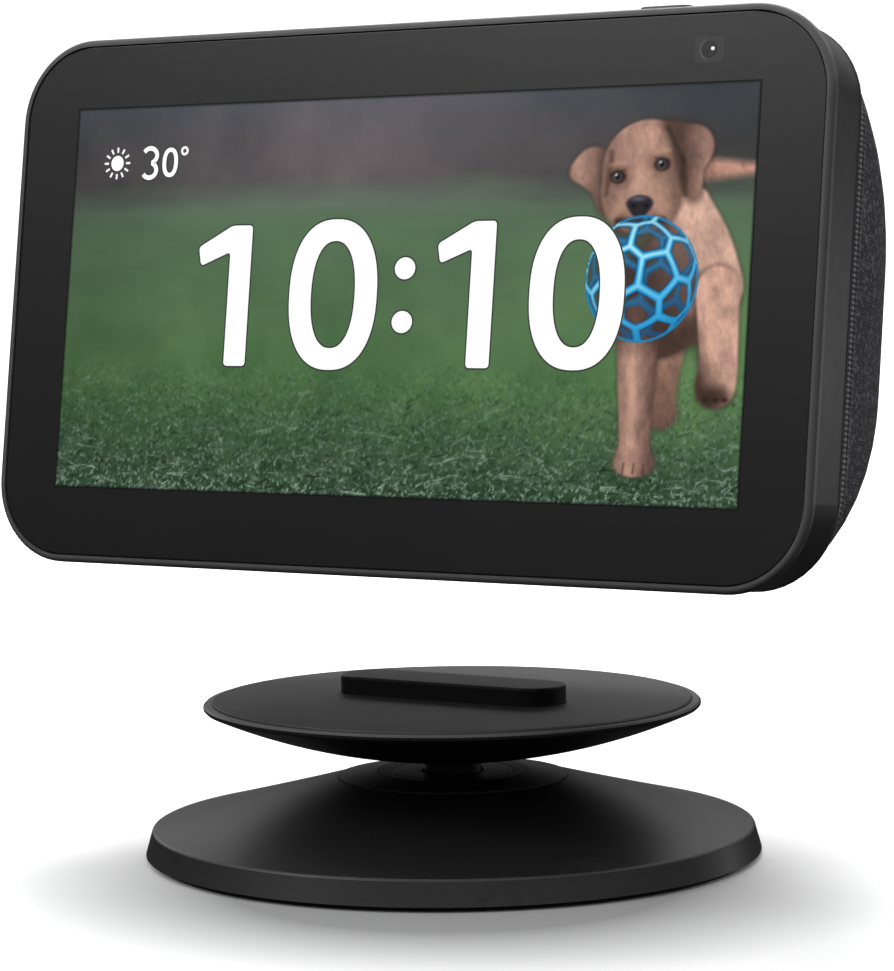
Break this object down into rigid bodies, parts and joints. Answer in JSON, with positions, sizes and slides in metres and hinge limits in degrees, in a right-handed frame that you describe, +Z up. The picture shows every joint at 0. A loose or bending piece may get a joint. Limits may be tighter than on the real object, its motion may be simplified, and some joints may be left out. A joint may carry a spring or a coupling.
{
  "type": "smart display",
  "caption": "Small smart display with a cloth-covered back, lifted off its round magnetic stand that tilts and swivels.",
  "frame": {"origin": "on the stand's swivel axis at floor level, the centre of the foot pad's underside", "axes": "+Z up along the swivel axis, the screen faces -Y and leans back, +X to the right as seen from the front"},
  "size_m": [0.148, 0.0986, 0.1321],
  "materials": {
    "stand_plastic": "satin black moulded plastic",
    "collar_trim": "satin black, slightly glossier than the base",
    "hidden_plastic": "black moulded plastic",
    "ballast_iron": "bare casting",
    "washer_nylon": "natural nylon",
    "screw_steel": "zinc-plated steel",
    "foot_rubber": "matt rubber",
    "plate_rubber": "smooth satin elastomer",
    "magnet_nickel": "nickel plate",
    "bezel_plastic": "fine satin charcoal",
    "band_plastic": "satin charcoal",
    "control_plastic": "satin charcoal",
    "cover_glass": "clear glass with a black printed border",
    "panel_black": "black",
    "circuit_green": "solder mask",
    "contact_gold": "gold-coloured copper",
    "frame_aluminium": "stamped",
    "cone_paper": "black paper pulp",
    "back_cloth": "charcoal heather knit"
  },
  "bodies": {
    "base": {"base_shell": "stand_plastic", "base_collar": "collar_trim", "ballast_ring": "ballast_iron", "bottom_cover": "hidden_plastic", "foot_pad": "foot_rubber", "base_screws": "screw_steel"},
    "neck": {"swivel_cup": "stand_plastic", "neck_cap": "collar_trim", "swivel_washer": "washer_nylon", "swivel_screw": "screw_steel", "hinge_pin": "screw_steel"},
    "plate": {"plate_neck": "hidden_plastic", "plate_dish": "stand_plastic", "neck_screws": "screw_steel", "plate_disc": "collar_trim", "plate_screws": "screw_steel", "plate_pad": "plate_rubber", "plate_magnets": "magnet_nickel"},
    "display": {"front_bezel": "bezel_plastic", "cover_glass": "cover_glass", "touch_film": "panel_black", "lcd_panel": "panel_black", "backlight_tray": "screw_steel", "lcd_ribbon": "contact_gold", "side_band": "band_plastic", "inner_frame": "frame_aluminium", "frame_screws": "screw_steel", "heat_spreader": "frame_aluminium", "main_board": "circuit_green", "board_chips": "panel_black", "board_screws": "screw_steel", "shield_can": "screw_steel", "antennas": "contact_gold", "power_cable": "foot_rubber", "speaker_chamber": "hidden_plastic", "speaker_magnet": "magnet_nickel", "speaker_basket": "frame_aluminium", "speaker_cone": "cone_paper", "speaker_surround": "foot_rubber", "speaker_screws": "screw_steel", "port_board": "circuit_green", "dc_jack": "panel_black", "usb_port": "screw_steel", "port_panel": "hidden_plastic", "button_board": "circuit_green", "tact_switches": "panel_black", "microphones": "contact_gold", "camera_module": "panel_black", "camera_lens": "cover_glass", "rear_housing": "hidden_plastic", "fabric_cover": "back_cloth", "sole_pad": "foot_rubber", "bottom_plate": "hidden_plastic", "dock_steel": "screw_steel", "sole_screws": "screw_steel"},
    "mic_button": {"mic_button": "control_plastic"},
    "volume_down_button": {"volume_down_button": "control_plastic"},
    "volume_up_button": {"volume_up_button": "control_plastic"},
    "shutter": {"shutter_knob": "control_plastic", "shutter_blade": "control_plastic"}
  },
  "joints": [
    {"name": "swivel", "type": "hinge", "parent": "base", "child": "neck", "pos_m": [0, 0, 0.0076], "axis": [0, 0, 1], "continuous": true},
    {"name": "tilt", "type": "hinge", "parent": "neck", "child": "plate", "pos_m": [0, 0, 0.0105], "axis": [1, 0, 0], "range_deg": [-12, 12]},
    {"name": "lift_off", "type": "slide", "parent": "plate", "child": "display", "axis": [0, 0, 1], "range_m": [-0.0204, 0.05]},
    {"name": "mic_press", "type": "slide", "parent": "display", "child": "mic_button", "axis": [0, -0.1392, -0.9903], "range_m": [0, 0.0006], "stiffness_N_per_m": 2000, "springref_m": -0.0004},
    {"name": "volume_down_press", "type": "slide", "parent": "display", "child": "volume_down_button", "axis": [0, -0.1392, -0.9903], "range_m": [0, 0.0006], "stiffness_N_per_m": 2000, "springref_m": -0.0004},
    {"name": "volume_up_press", "type": "slide", "parent": "display", "child": "volume_up_button", "axis": [0, -0.1392, -0.9903], "range_m": [0, 0.0006], "stiffness_N_per_m": 2000, "springref_m": -0.0004},
    {"name": "shutter_slide", "type": "slide", "parent": "display", "child": "shutter", "axis": [1, 0, 0], "range_m": [0, 0.005]}
  ]
}
